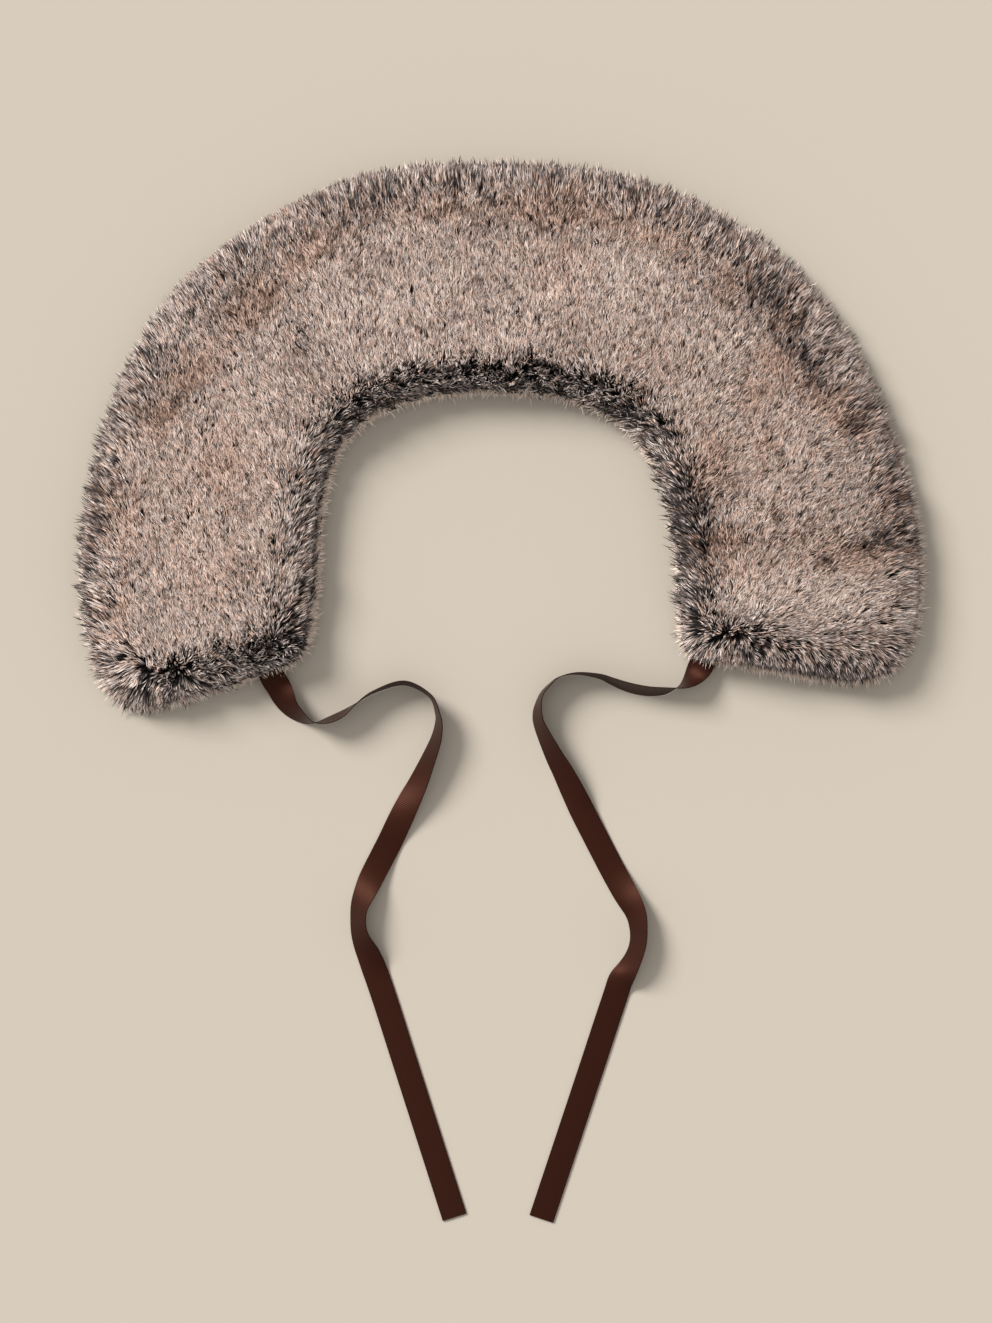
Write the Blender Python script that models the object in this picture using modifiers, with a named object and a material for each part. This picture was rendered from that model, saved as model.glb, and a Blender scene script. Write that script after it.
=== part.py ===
"""A faux-fur collar wrap laid flat: two horseshoe panels of fur fabric, seamed all round, and two ribbon ties.

Metres, +Z up. +Y runs towards the back of the neck and +X to the right, as seen from above. The tables are in
millimetres and degrees, about the middle of the collar's own box, and an empty carries every piece.
"""

import math

import bmesh
import bpy
from mathutils import Vector

COLLECTION = "fur_collar_wrap"
MM = 0.001

# Fabric and ribbon, in millimetres
WALL = 1.2
GAP = 0.3
UNDER_PILE = 3.5
TOP_PILE = 14.2
CROWN = 1.5
TIE_WIDTH = 12.5
TIE_WALL = 1.0
TIE_CLEARANCE = 0.1

# Heights through the collar, from the surface that it lies on
UNDER_PANEL_BASE = UNDER_PILE + GAP
TOP_PANEL_BASE = UNDER_PANEL_BASE + WALL + GAP
TOP_PILE_BASE = TOP_PANEL_BASE + WALL + GAP
SEAM_HEIGHT = TOP_PANEL_BASE - GAP / 2
SLOT_BASE = SEAM_HEIGHT - TIE_WALL / 2 - GAP
SLOT_TOP = SEAM_HEIGHT + TIE_WALL / 2 + GAP

# The middle of the whole box, which the empty brings to the origin
BOX_MIDDLE = (-0.216, 0.115)

# The seam line, about the middle of the neck: angle, neck radius, outer radius, from the left end to the right
NECK_CENTRE = (-1.75, 58.0)
BAND = (
    (206, 108.5, 197.5),
    (183, 95.5, 202.5),
    (160, 99.0, 204.0),
    (137, 107.0, 211.0),
    (114, 101.5, 208.5),
    (91, 96.0, 200.0),
    (68, 100.0, 204.5),
    (45, 105.0, 207.5),
    (22, 98.0, 203.5),
    (-1, 95.5, 206.0),
    (-24, 102.0, 203.0),
)
LEFT_END = {"neck": 201.5, "outer": 199.5}
RIGHT_END = {"neck": -21.5, "outer": -14.5}
CORNER = {"neck": 9.0, "outer": 24.0}

# How far each pile reaches past the seam line
TOP_REACH = {"neck": 4.0, "outer": 8.5, "end": 4.0}
UNDER_REACH = {"neck": 7.0, "outer": 9.0, "end": 5.0}

# Rings of each pile, from the panel round the rim: share of the reach, millimetres more, height
TOP_RINGS = (
    (0.0, 0.4, TOP_PILE_BASE),
    (0.0, 0.8, SLOT_TOP),
    (0.7, 0.0, SLOT_TOP),
    (1.0, 0.0, TOP_PILE_BASE + 0.15 * TOP_PILE),
    (0.95, 0.0, TOP_PILE_BASE + 0.44 * TOP_PILE),
    (0.5, -1.0, TOP_PILE_BASE + 0.72 * TOP_PILE),
    (0.0, -4.0, TOP_PILE_BASE + 0.90 * TOP_PILE),
    (0.0, -13.0, TOP_PILE_BASE + TOP_PILE),
    (0.0, -32.0, TOP_PILE_BASE + TOP_PILE + CROWN),
)
UNDER_RINGS = (
    (0.0, 0.4, UNDER_PILE),
    (0.0, 0.8, SLOT_BASE),
    (0.6, 0.0, SLOT_BASE),
    (1.0, 0.0, 0.6 * SLOT_BASE),
    (0.95, 0.0, 0.25 * SLOT_BASE),
    (0.7, 0.0, 0.0),
)

# Points of each side of an outline, and of each rounded corner
STEPS = {"outer": 60, "neck": 34, "end": 6, "corner": 6}

# Each tie's middle line, from the seam to its cut end: x, y, tilt towards standing on edge, lift off its rest
TIE_STEP = 4.0
SEAM_LIFT = SEAM_HEIGHT - TIE_WALL / 2 - TIE_CLEARANCE
TIE_LEFT = (
    (-117.0, 12.9, 0, SEAM_LIFT),
    (-114.3, 6.5, 0, SEAM_LIFT),
    (-111.6, 2.2, 8, 2.9),
    (-108.8, -3.5, 25, 1.1),
    (-105.8, -8.3, 44, 0),
    (-101.3, -12.3, 59, 0),
    (-96.8, -15.0, 75, 0),
    (-92.8, -15.8, 90, 0),
    (-85.8, -14.3, 104, 0),
    (-78.9, -11.0, 103, 0),
    (-72.3, -6.0, 91, 0),
    (-63.5, -0.3, 85, 0),
    (-48.5, 4.0, 80, 0),
    (-35.8, -2.3, 82, 0),
    (-32.0, -11.0, 79, 0),
    (-31.4, -17.0, 72, 0),
    (-32.9, -24.7, 64, 0),
    (-37.1, -35.5, 53, 0),
    (-41.9, -46.5, 39, 0),
    (-45.9, -54.5, 26, 0),
    (-51.3, -65.7, 9, 0),
    (-56.5, -76.7, 0, 0),
    (-64.3, -91.9, 10, 0),
    (-68.3, -100.5, 29, 0),
    (-71.0, -107.5, 45, 0),
    (-71.7, -114.4, 51, 0),
    (-71.2, -120.5, 48, 0),
    (-69.3, -126.4, 37, 0),
    (-66.2, -133.0, 18, 0),
    (-63.0, -141.5, 2, 0),
    (-58.9, -153.5, 0, 0),
    (-54.6, -166.8, 0, 0),
    (-47.3, -189.7, 0, 0),
    (-23.5, -264.0, 0, 0),
)
TIE_RIGHT = (
    (101.9, 19.0, 0, SEAM_LIFT),
    (100.3, 13.5, 4, SEAM_LIFT - 0.4),
    (96.3, 7.5, 40, 0.6),
    (92.0, 3.5, 70, 0),
    (87.9, 1.5, 90, 0),
    (81.6, 0.0, 106, 0),
    (74.9, -0.2, 111, 0),
    (68.2, 0.7, 112, 0),
    (61.5, 2.5, 110, 0),
    (54.8, 5.1, 105, 0),
    (48.8, 7.4, 100, 0),
    (37.4, 8.8, 94, 0),
    (28.7, 6.8, 90, 0),
    (24.3, 3.4, 87, 0),
    (20.3, -1.1, 84, 0),
    (18.6, -6.0, 78, 0),
    (18.0, -11.0, 70, 0),
    (19.2, -17.4, 64, 0),
    (26.0, -31.8, 47, 0),
    (30.8, -40.5, 35, 0),
    (36.8, -52.5, 18, 0),
    (42.2, -63.5, 4, 0),
    (54.0, -86.5, 0, 0),
    (61.0, -99.5, 10, 0),
    (66.9, -110.4, 34, 0),
    (68.5, -118.3, 47, 0),
    (68.4, -125.8, 51, 0),
    (66.5, -132.4, 50, 0),
    (63.3, -138.8, 38, 0),
    (59.7, -145.0, 12, 0),
    (57.9, -150.5, 0, 0),
    (56.0, -156.2, 0, 0),
    (52.2, -167.6, 0, 0),
    (44.7, -190.4, 0, 0),
    (20.0, -264.8, 0, 0),
)

COLOURS = {
    "top_pile": (0.36, 0.27, 0.24),
    "top_panel": (0.10, 0.08, 0.07),
    "under_pile": (0.42, 0.32, 0.28),
    "under_panel": (0.12, 0.09, 0.08),
    "tie_left": (0.045, 0.013, 0.008),
    "tie_right": (0.045, 0.013, 0.008),
}


def clear_scene():
    for obj in list(bpy.data.objects):
        bpy.data.objects.remove(obj, do_unlink=True)


def smooth_row(rows, at):
    """The row of a table at a fractional index, on a smooth curve through all its rows."""
    last = len(rows) - 1
    i = min(int(at), last - 1)
    t = at - i
    before, a, b, after = (rows[max(0, min(last, i + k))] for k in (-1, 0, 1, 2))
    return [
        0.5 * (2 * q + (r - p) * t + (2 * p - 5 * q + 4 * r - s) * t**2 + (3 * q - p - 3 * r + s) * t**3)
        for p, q, r, s in zip(before, a, b, after)
    ]


def seam_radius(angle, side):
    """Radius of the seam line at an angle in degrees, on the neck side or the outer side."""
    at = (BAND[0][0] - angle) / (BAND[0][0] - BAND[-1][0]) * (len(BAND) - 1)
    row = smooth_row(BAND, max(0.0, min(float(len(BAND) - 1), at)))
    return row[1] if side == "neck" else row[2]


def polar(angle, radius):
    turn = math.radians(angle)
    return Vector((NECK_CENTRE[0] + radius * math.cos(turn), NECK_CENTRE[1] + radius * math.sin(turn)))


def arc_side(side, grow, first, last):
    """A function of 0 to 1 along the neck or outer side, moved out from the band by grow."""
    outwards = grow if side == "outer" else -grow

    def point(share):
        angle = first + (last - first) * share
        return polar(angle, seam_radius(angle, side) + outwards)

    return point


def straight_side(first, last):
    return lambda share: first.lerp(last, share)


def outline(neck, outer, end):
    """The seam line moved out by so much on each side: points anticlockwise, with its corners rounded."""
    shift = {side: math.degrees(end / seam_radius(90, side)) for side in LEFT_END}
    left = {side: LEFT_END[side] + shift[side] for side in shift}
    right = {side: RIGHT_END[side] - shift[side] for side in shift}
    outer_side = arc_side("outer", outer, right["outer"], left["outer"])
    neck_side = arc_side("neck", neck, left["neck"], right["neck"])
    sides = (
        (outer_side, STEPS["outer"]),
        (straight_side(outer_side(1), neck_side(0)), STEPS["end"]),
        (neck_side, STEPS["neck"]),
        (straight_side(neck_side(1), outer_side(0)), STEPS["end"]),
    )
    cuts = [max(2.0, CORNER[side] + end) for side in ("outer", "outer", "neck", "neck")]
    points = []
    for i, (side, steps) in enumerate(sides):
        length = sum((side((k + 1) / 20) - side(k / 20)).length for k in range(20))
        start = cuts[i] / length
        stop = 1 - cuts[(i + 1) % 4] / length
        points += [side(start + (stop - start) * k / steps) for k in range(steps)]
        points += rounded_corner(side(stop), side(1), sides[(i + 1) % 4][0], cuts[(i + 1) % 4])
    return points


def rounded_corner(start, corner, next_side, cut):
    """A curve from a side's trimmed end, bent by the corner, to the trimmed start of the next side."""
    stop = corner + (next_side(0.05) - corner).normalized() * cut
    steps = STEPS["corner"]
    shares = [k / steps for k in range(steps)]
    return [(1 - t) ** 2 * start + 2 * t * (1 - t) * corner + t**2 * stop for t in shares]


def new_object(name, mesh, carrier):
    """Puts a finished mesh in the collection, with its own material, on the empty that carries it."""
    material = bpy.data.materials.new(name + "_material")
    material.use_nodes = True
    shader = material.node_tree.nodes["Principled BSDF"]
    shader.inputs["Base Color"].default_value = (*COLOURS[name], 1.0)
    shader.inputs["Roughness"].default_value = 0.6 if name.startswith("tie") else 0.9
    shader.inputs["Metallic"].default_value = 0.0
    mesh.materials.append(material)
    obj = bpy.data.objects.new(name, mesh)
    bpy.data.collections[COLLECTION].objects.link(obj)
    obj.parent = carrier
    return obj


def mesh_from(name, build):
    """A mesh in metres from a function that fills a bmesh in millimetres."""
    mesh = bpy.data.meshes.new(name)
    bm = bmesh.new()
    build(bm)
    bmesh.ops.scale(bm, vec=(MM, MM, MM), verts=bm.verts)
    bmesh.ops.recalc_face_normals(bm, faces=bm.faces)
    bm.to_mesh(mesh)
    bm.free()
    return mesh


def add_wall(obj, wall):
    solidify = obj.modifiers.new("Wall", "SOLIDIFY")
    solidify.thickness = wall * MM
    solidify.offset = 0


def make_panel(name, base, carrier):
    """A fur fabric's backing: the outline as one flat sheet, with the wall of the knit."""

    def build(bm):
        bm.faces.new([bm.verts.new((*point, base + WALL / 2)) for point in outline(0, 0, 0)])

    add_wall(new_object(name, mesh_from(name, build), carrier), WALL)


def make_pile(name, reach, rings, carrier):
    """The space that a pile fills: a loft through rings of the outline, from the panel round its rim."""

    def build(bm):
        loops = []
        for share, more, height in rings:
            grown = outline(*(share * reach[side] + more for side in ("neck", "outer", "end")))
            loops.append([bm.verts.new((*point, height)) for point in grown])
        for lower, upper in zip(loops, loops[1:]):
            for k in range(len(lower)):
                bm.faces.new((lower[k - 1], lower[k], upper[k], upper[k - 1]))
        bm.faces.new(loops[0])
        bm.faces.new(loops[-1])

    mesh = mesh_from(name, build)
    mesh.shade_smooth()
    mesh.set_sharp_from_angle(angle=math.radians(50))
    new_object(name, mesh, carrier)


def tie_sections(route):
    """Points about TIE_STEP apart along a tie's route: place on the plan, tilt in degrees and lift."""
    sections = [smooth_row(route, 0.0)]
    fine = 40
    for k in range(1, (len(route) - 1) * fine + 1):
        row = smooth_row(route, k / fine)
        if math.dist(row[:2], sections[-1][:2]) >= TIE_STEP:
            sections.append(row)
    sections.append(smooth_row(route, len(route) - 1))
    return sections


def make_tie(name, route, raised_side, carrier):
    """A ribbon on its route: it lies flat, or leans up on one selvedge with the raised side towards the bend."""

    def build(bm):
        sections = tie_sections(route)
        edges = []
        for i, (x, y, tilt, lift) in enumerate(sections):
            before = sections[max(0, i - 1)]
            after = sections[min(len(sections) - 1, i + 1)]
            along = Vector((after[0] - before[0], after[1] - before[1])).normalized()
            lean = math.radians(tilt)
            across = raised_side * math.cos(lean)
            half = Vector((-along.y * across, along.x * across, math.sin(lean))) * (TIE_WIDTH / 2)
            rest = abs(half.z) + TIE_WALL / 2 * abs(math.cos(lean)) + TIE_CLEARANCE
            middle = Vector((x, y, rest + lift))
            edges.append((bm.verts.new(middle - half), bm.verts.new(middle + half)))
        for (a, b), (c, d) in zip(edges, edges[1:]):
            bm.faces.new((a, b, d, c))

    mesh = mesh_from(name, build)
    mesh.shade_smooth()
    add_wall(new_object(name, mesh, carrier), TIE_WALL)


def main():
    clear_scene()
    bpy.context.scene.collection.children.link(bpy.data.collections.new(COLLECTION))
    carrier = bpy.data.objects.new("collar_frame", None)
    carrier.location = (-BOX_MIDDLE[0] * MM, -BOX_MIDDLE[1] * MM, 0.0)
    bpy.data.collections[COLLECTION].objects.link(carrier)
    make_pile("under_pile", UNDER_REACH, UNDER_RINGS, carrier)
    make_panel("under_panel", UNDER_PANEL_BASE, carrier)
    make_panel("top_panel", TOP_PANEL_BASE, carrier)
    make_pile("top_pile", TOP_REACH, TOP_RINGS, carrier)
    make_tie("tie_left", TIE_LEFT, 1, carrier)
    make_tie("tie_right", TIE_RIGHT, 1, carrier)


main()
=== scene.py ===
import math

import bmesh
import bpy
import numpy as np
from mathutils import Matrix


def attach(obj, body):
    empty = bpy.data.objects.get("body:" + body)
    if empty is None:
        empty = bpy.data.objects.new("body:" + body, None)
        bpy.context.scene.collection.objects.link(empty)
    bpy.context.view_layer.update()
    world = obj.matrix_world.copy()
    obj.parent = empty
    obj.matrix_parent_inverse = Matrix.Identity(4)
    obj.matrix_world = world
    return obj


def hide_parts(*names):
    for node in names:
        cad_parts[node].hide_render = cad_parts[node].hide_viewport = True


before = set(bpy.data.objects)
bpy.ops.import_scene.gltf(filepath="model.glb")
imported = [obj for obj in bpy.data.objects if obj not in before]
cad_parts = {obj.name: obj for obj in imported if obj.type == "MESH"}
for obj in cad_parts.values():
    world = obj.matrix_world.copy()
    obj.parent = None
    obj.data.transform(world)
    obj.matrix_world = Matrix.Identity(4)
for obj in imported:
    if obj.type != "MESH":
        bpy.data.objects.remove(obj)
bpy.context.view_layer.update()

# Every random draw is from a seed that is written where the draw is made

MM = 0.001
BODY = "root"

# The plan is worked in photograph pixels and in millimetres about the middle of the collar
PIXEL_MM = 0.5
PIXEL_ORIGIN = (501.5, 691.0)
BOX_MIDDLE = (-0.216, 0.115)
PHOTO_MIDDLE = (496, 661.5)
PHOTO_HEIGHT = 1323

# Heights of the collar's layers, in millimetres
SEAM_HEIGHT = 5.15
TOP_ROOTS = 6.3
UNDER_ROOTS = 3.9
UNDER_BACKING_BASE = 3.9
TOP_BACKING_BASE = 5.4
BACKING_WALL = 1.0

# Ribbon, in millimetres
TIE_WIDTH = 12.5
TIE_WALL = 0.45
TIE_STEP = 1.6
TIE_CLEARANCE = 0.1
TIE_CROWN = 0.16
TIE_COLUMNS = 9
CURVE_STEPS = 60
RIB_PITCH = 0.85
# How much ribbon one unit of its UV map covers, and how far from its middle the selvedge starts, as a
# share of its width
RIBBON_UV_LENGTH = 400
SELVEDGE_FROM = 0.462
SEAM_LIFT = SEAM_HEIGHT - TIE_WALL / 2 - TIE_CLEARANCE

# Fur, in millimetres: spacings of strands, clumps and locks, then lengths and widths
FIELD_SPACING = 0.50
EDGE_SPACING = 0.485
FLAT_SPACING = 1.6
FRINGE_SPACING = 0.54
CLUMP_SPACING = 2.8
FIELD_LOCKS = 0.9
EDGE_LOCKS = 1.2
TOP_LENGTH = 17.5
UNDER_LENGTHS = (9.5, 14.5)
TOP_WIDTHS = (0.40, 0.60)
UNDER_WIDTHS = (0.40, 0.56)
# How low and how high the top's tips may be, and how low the under pile's knees and tips
LOWEST_TIP = 1.5
HIGHEST_TIP = 23.5
LOWEST_UNDER_KNEE = 0.9
LOWEST_UNDER_TIP = 0.4
# How far in from the seam the fringe has its roots, and how far in the under pile starts to turn outward
FRINGE_DEPTH = 5.5
FRINGE_TURN = 7.5
# How far the top pile turns over at the edge, in degrees, and the spread of the roll of each strand
# about its length, in radians
EDGE_TURN = 70
STRAND_ROLL = 0.55
# Tones up to the first value are cool, dark to pale, and those from the second on are warm, dark to pale
COOL_TONES = 0.52
WARM_TONES = 0.56
# A strand's UV map: the range of its tone, half of its width, and the part of the map along it
TONE_RANGE = (0.004, 0.996)
UV_MARGIN = 0.002
UV_LENGTH = 0.996
# The fur is split into pieces by the direction from the neck's centre, and by the distance from it
NECK_CENTRE = np.array([-1.53, 57.89])
NECK_RING = 150
# Points worked on at a time, and the distance in millimetres over which the direction out of the seam
# is blended at a corner
BATCH = 20000
CORNER_BLEND = 2.5

# Camera, floor and light. Places and heights are in metres, and the key light's width is in degrees
CAMERA_LENS = 100.0
CAMERA_SENSOR = 36
CAMERA_LIFT = 0.006
FLOOR_HALF = 2
FLOOR_LEVEL = -0.0003
LIGHT_COLOUR = (1.0, 0.985, 0.96)
SKY_STRENGTH = 0.68
KEY_STRENGTH = 4.8
KEY_WIDTH = 24
KEY_PLACE = (-1.28, 1.02, 1.1)

# Each tie's middle line, from the seam to its cut end: x and y in millimetres, tilt towards standing
# on edge in degrees, and lift off its rest in millimetres
TIE_LEFT = (
    (-117.0, 12.9, 0, SEAM_LIFT),
    (-114.3, 6.5, 0, SEAM_LIFT),
    (-111.6, 2.2, 8, 2.9),
    (-108.8, -3.5, 25, 1.1),
    (-105.8, -8.3, 44, 0),
    (-101.3, -12.3, 59, 0),
    (-96.8, -15.0, 75, 0),
    (-92.8, -15.8, 90, 0),
    (-85.8, -14.3, 104, 0),
    (-78.9, -11.0, 103, 0),
    (-72.3, -6.0, 91, 0),
    (-63.5, -0.3, 85, 0),
    (-48.5, 4.0, 80, 0),
    (-35.8, -2.3, 82, 0),
    (-32.0, -11.0, 79, 0),
    (-31.4, -17.0, 72, 0),
    (-32.9, -24.7, 64, 0),
    (-37.1, -35.5, 53, 0),
    (-41.9, -46.5, 39, 0),
    (-45.9, -54.5, 26, 0),
    (-51.3, -65.7, 9, 0),
    (-56.5, -76.7, 0, 0),
    (-64.3, -91.9, 10, 0),
    (-68.3, -100.5, 29, 0),
    (-71.0, -107.5, 45, 0),
    (-71.7, -114.4, 51, 0),
    (-71.2, -120.5, 48, 0),
    (-69.3, -126.4, 37, 0),
    (-66.2, -133.0, 18, 0),
    (-63.0, -141.5, 2, 0),
    (-58.9, -153.5, 0, 0),
    (-54.6, -166.8, 0, 0),
    (-47.3, -189.7, 0, 0),
    (-23.5, -264.0, 0, 0),
)
TIE_RIGHT = (
    (101.9, 19.0, 0, SEAM_LIFT),
    (100.3, 13.5, 4, SEAM_LIFT - 0.4),
    (96.3, 7.5, 40, 0.6),
    (92.0, 3.5, 70, 0),
    (87.9, 1.5, 90, 0),
    (81.6, 0.0, 106, 0),
    (74.9, -0.2, 111, 0),
    (68.2, 0.7, 112, 0),
    (61.5, 2.5, 110, 0),
    (54.8, 5.1, 105, 0),
    (48.8, 7.4, 100, 0),
    (37.4, 8.8, 94, 0),
    (28.7, 6.8, 90, 0),
    (24.3, 3.4, 87, 0),
    (20.3, -1.1, 84, 0),
    (18.6, -6.0, 78, 0),
    (18.0, -11.0, 70, 0),
    (19.2, -17.4, 64, 0),
    (26.0, -31.8, 47, 0),
    (30.8, -40.5, 35, 0),
    (36.8, -52.5, 18, 0),
    (42.2, -63.5, 4, 0),
    (54.0, -86.5, 0, 0),
    (61.0, -99.5, 10, 0),
    (66.9, -110.4, 34, 0),
    (68.5, -118.3, 47, 0),
    (68.4, -125.8, 51, 0),
    (66.5, -132.4, 50, 0),
    (63.3, -138.8, 38, 0),
    (59.7, -145.0, 12, 0),
    (57.9, -150.5, 0, 0),
    (56.0, -156.2, 0, 0),
    (52.2, -167.6, 0, 0),
    (44.7, -190.4, 0, 0),
    (20.0, -264.8, 0, 0),
)

# Which way the pile lies: pixel, and degrees anticlockwise from the photograph's right
NAP = (
    (160, 620, 88), (250, 612, 98), (170, 480, 93), (250, 470, 100), (200, 350, 97),
    (300, 370, 112), (290, 290, 100), (350, 310, 92), (420, 300, 86), (500, 290, 88),
    (560, 290, 84), (640, 290, 78), (700, 300, 70), (760, 380, 64), (740, 470, 58), (800, 520, 58),
    (780, 600, 42), (860, 600, 36), (860, 500, 50), (820, 400, 55), (895, 622, 15), (450, 200, 90),
    (600, 200, 86), (700, 230, 78), (200, 270, 105), (120, 450, 105), (100, 600, 104),
    (95, 702, -125), (150, 746, -92), (215, 744, -78), (275, 722, -62), (680, 668, -140),
    (722, 700, -110), (775, 694, -92), (830, 706, -84), (885, 695, -52), (716, 580, 95),
)
NAP_SPREAD = 32.0
# How far the nap's lines wander, in millimetres, and the agreement below which the pile parts
NAP_WANDER = 3.5
NAP_AGREEMENT = 0.7

# How far in from the seam the pile turns over the edge: pixel, and millimetres
ROLL = (
    (500, 400, 14), (400, 405, 14), (345, 440, 17), (325, 520, 19), (318, 620, 19), (250, 680, 18),
    (150, 712, 22), (80, 650, 19), (80, 520, 17), (110, 400, 17), (200, 260, 18), (340, 170, 19),
    (500, 157, 19), (660, 180, 19), (790, 260, 21), (890, 410, 22), (928, 590, 20), (915, 670, 17),
    (800, 690, 16), (690, 665, 16), (672, 560, 13), (655, 460, 13), (600, 410, 13),
)
ROLL_SPREAD = 45.0

# How far past the seam the pile reaches: pixel, then top pile and under pile in millimetres
REACH = (
    (350, 421, 5.0, 9.6), (382, 402, 5.2, 9.2), (417, 389, 5.4, 9.0), (490, 383, 6.0, 8.6),
    (564, 388, 6.8, 8.4), (600, 398, 9.0, 11.0), (632, 415, 13.6, 12.6), (658, 442, 13.4, 12.0),
    (682, 512, 11.0, 8.8), (689, 585, 10.2, 8.2), (690, 623, 10.0, 8.2), (316, 486, 4.8, 10.0),
    (308, 559, 4.8, 9.8), (306, 596, 5.0, 9.6), (300, 633, 5.2, 9.6), (280, 659, 5.0, 8.0),
    (244, 670, 6.0, 8.2), (209, 681, 6.8, 8.6), (173, 692, 8.8, 9.4), (137, 695, 10.6, 9.6),
    (111, 671, 10.4, 8.8), (100, 635, 10.4, 8.2), (93, 562, 9.2, 7.4), (101, 488, 8.6, 7.0),
    (133, 382, 8.6, 7.0), (168, 316, 7.0, 5.6), (190, 287, 5.2, 4.2), (216, 260, 3.8, 3.2),
    (245, 237, 3.4, 3.0), (277, 218, 3.2, 2.8), (310, 201, 3.6, 3.0), (345, 189, 4.8, 4.0),
    (381, 181, 6.4, 5.4), (455, 175, 8.2, 7.2), (603, 183, 8.2, 7.2), (740, 239, 8.4, 7.8),
    (796, 287, 8.2, 7.2), (850, 360, 8.8, 9.0), (904, 520, 7.2, 9.4), (909, 594, 7.4, 9.6),
    (905, 631, 7.4, 9.6), (886, 662, 7.0, 9.4), (851, 671, 7.8, 9.8), (814, 667, 7.4, 9.6),
    (777, 662, 6.0, 8.8), (741, 657, 5.6, 8.0), (710, 654, 5.6, 7.4),
)
REACH_SPREAD = 22.0
# Which column of that table is the top pile's, and which the under pile's
TOP_REACH = 2
UNDER_REACH = 3


def pixels(rows):
    """The rows of a table as an array, with the pixel turned into millimetres on the plan."""
    table = np.array(rows, float)
    table[:, 0] = (table[:, 0] - PIXEL_ORIGIN[0]) * PIXEL_MM - BOX_MIDDLE[0]
    table[:, 1] = (PIXEL_ORIGIN[1] - table[:, 1]) * PIXEL_MM - BOX_MIDDLE[1]
    return table


def weights(points, table, spread):
    """How much each row of a table counts at each point, falling off with distance."""
    gap = ((points[:, None, :2] - table[None, :, :2]) ** 2).sum(axis=2) / (spread * PIXEL_MM) ** 2
    near = np.exp(-(gap - gap.min(axis=1, keepdims=True)) / 2)
    return near / near.sum(axis=1, keepdims=True)


def nap_at(points):
    """Which way the pile lies on the plan, and how much it all lies that way: 0 where it parts."""
    table = pixels(NAP)
    turn = np.radians(table[:, 2])
    wander = np.column_stack([waves(points, 23, 16), waves(points, 24, 16)]) * NAP_WANDER
    lies = np.column_stack([np.cos(turn), np.sin(turn)])
    found = weights(points + wander, table, NAP_SPREAD) @ lies
    strength = np.linalg.norm(found, axis=1)
    return found / np.maximum(strength, 1e-6)[:, None], smoothstep(0, NAP_AGREEMENT, strength)


def roll_at(points):
    """How far in from the seam the pile turns over the edge."""
    table = pixels(ROLL)
    return weights(points, table, ROLL_SPREAD) @ table[:, 2]


# Soft patches of tone: partly the fur's own darker tufts and partings, partly painted shade on rims the
# key light falls on and painted light where the pile lies in shade. Each row: pixel, half width and half
# height in pixels, turn in degrees, and how much darker the fur is there, or paler where it is under 0
TONE_AND_PAINTED_LIGHT_PATCHES = (
    (352, 402, 26, 12, 50, 0.2), (405, 379, 26, 11, 12, 0.2), (500, 373, 46, 12, 0, 0.45),
    (590, 382, 26, 12, -12, 0.6), (632, 414, 26, 16, -50, 0.9), (662, 457, 28, 18, -65, 0.9),
    (684, 512, 32, 22, -80, 2.2), (692, 560, 28, 22, 90, 1.8), (712, 530, 14, 70, 0, 0.6),
    (706, 606, 24, 16, -60, 1.0), (757, 634, 26, 14, -10, 1.3), (830, 656, 60, 10, -4, 1.6),
    (325, 440, 34, 12, 65, 0.5), (308, 492, 30, 14, 78, 0.3), (297, 555, 36, 14, 88, 0.5),
    (283, 628, 28, 18, 60, 0.6), (238, 656, 24, 13, 10, -0.5), (200, 660, 20, 15, 0, -0.5),
    (160, 666, 30, 14, -10, -0.6), (110, 650, 18, 12, -30, 0.4), (116, 612, 12, 8, 0, 0.8),
    (98, 640, 14, 14, 0, 0.5), (757, 300, 16, 22, 20, 1.4), (780, 337, 16, 24, 20, 1.6),
    (806, 380, 18, 28, 30, 1.5), (850, 427, 20, 18, 0, 1.4), (886, 500, 20, 11, 0, 1.6),
    (882, 545, 26, 14, 0, 1.6), (738, 548, 18, 8, -12, 1.0), (780, 549, 22, 9, 15, 0.4),
    (842, 553, 20, 8, -12, 1.1), (705, 540, 20, 16, 0, 0.5), (313, 365, 12, 34, 20, 0.6),
    (478, 292, 4, 14, 30, 1.0), (517, 325, 9, 7, 0, 1.0), (770, 524, 9, 8, 0, 1.9),
    (817, 566, 10, 8, 0, 1.9), (330, 240, 60, 26, 25, 0.7), (520, 212, 160, 34, 0, 0.75),
    (430, 215, 60, 16, 5, 0.3), (250, 305, 56, 38, 45, 0.8), (175, 395, 60, 34, 65, 0.7),
    (97, 520, 24, 125, -6, 2.0), (145, 380, 60, 16, 65, 0.4), (520, 167, 150, 16, 0, 1.0),
    (722, 275, 110, 50, -40, 0.5), (690, 230, 60, 14, -20, 0.25), (890, 480, 24, 90, 4, 0.5),
    (200, 520, 60, 90, 0, -0.2), (390, 310, 60, 40, 0, -0.25), (600, 305, 80, 30, 0, -0.3),
    (800, 606, 76, 32, 0, -1.6), (760, 470, 50, 60, 0, -0.3),
)
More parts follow.
